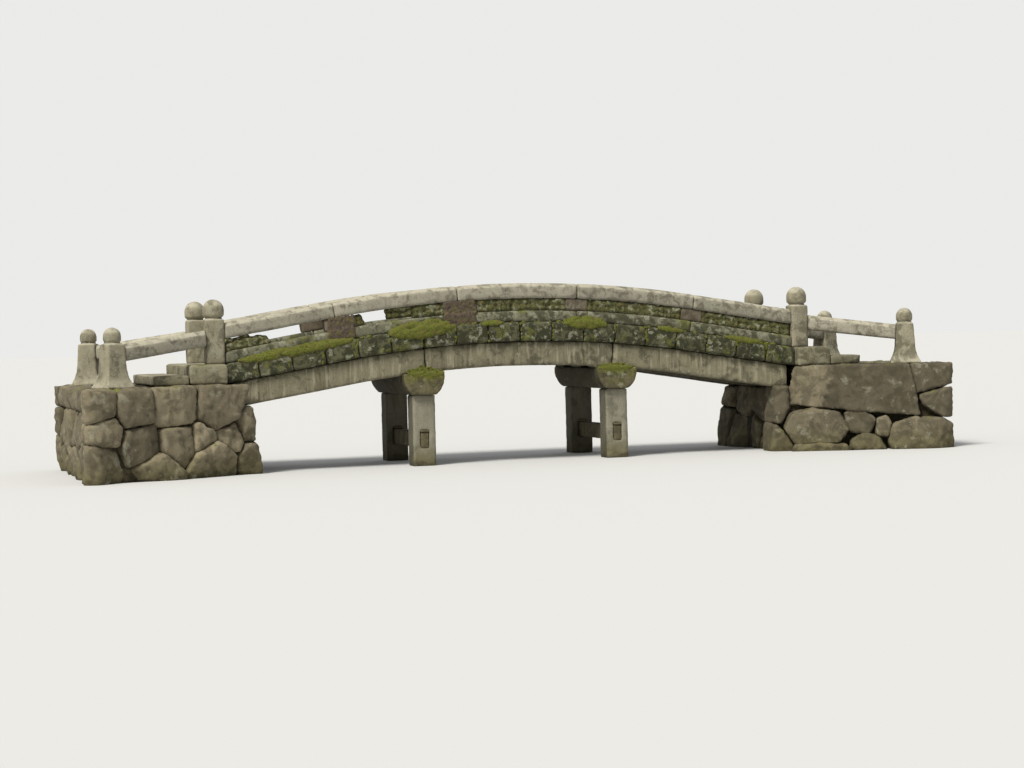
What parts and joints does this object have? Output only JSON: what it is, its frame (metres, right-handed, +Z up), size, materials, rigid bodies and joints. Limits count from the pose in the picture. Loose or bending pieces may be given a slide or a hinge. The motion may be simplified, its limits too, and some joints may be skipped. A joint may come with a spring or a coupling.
{
  "type": "moon bridge",
  "caption": "Arched stone garden footbridge with a cambered slab deck, slotted parapets, newels, splayed wing rails, two framed piers and boulder abutments.",
  "frame": {"origin": "on the waterline at midspan, in the middle of the bridge's width", "axes": "+X along the bridge, -Y towards the near side of the picture, +Z up"},
  "size_m": [11.4888, 3.8286, 2.34],
  "materials": {
    "pier_granite": "dressed, weathered, darker at the foot",
    "girder_granite": "dressed, streaked by rain",
    "deck_granite": "rough, with lichen and moss",
    "parapet_granite": "dressed, weathered",
    "abutment_stone": "rough boulders"
  },
  "bodies": {
    "root": {"column_left_near": "pier_granite", "column_left_far": "pier_granite", "column_right_near": "pier_granite", "column_right_far": "pier_granite", "tie_left": "pier_granite", "tie_right": "pier_granite", "wedges": "pier_granite", "cap_left": "pier_granite", "cap_right": "pier_granite", "girders_left": "girder_granite", "girders_centre": "girder_granite", "girders_right": "girder_granite", "deck_left": "deck_granite", "deck_centre": "deck_granite", "deck_right": "deck_granite", "sill_near": "deck_granite", "sill_far": "deck_granite", "post_near_1": "parapet_granite", "post_near_2": "parapet_granite", "post_near_3": "parapet_granite", "post_near_4": "parapet_granite", "post_far_1": "parapet_granite", "post_far_2": "parapet_granite", "post_far_3": "parapet_granite", "post_far_4": "parapet_granite", "rail_near": "parapet_granite", "rail_far": "parapet_granite", "newel_left_near": "parapet_granite", "newel_left_far": "parapet_granite", "newel_right_near": "parapet_granite", "newel_right_far": "parapet_granite", "wing_rail_left_near": "parapet_granite", "wing_rail_left_far": "parapet_granite", "wing_rail_right_near": "parapet_granite", "wing_rail_right_far": "parapet_granite", "end_post_left_near": "parapet_granite", "end_post_left_far": "parapet_granite", "end_post_right_near": "parapet_granite", "end_post_right_far": "parapet_granite", "landing_left": "deck_granite", "landing_right": "deck_granite", "step_left": "deck_granite", "step_right": "deck_granite", "abutment_left": "abutment_stone", "abutment_right": "abutment_stone"}
  },
  "joints": []
}
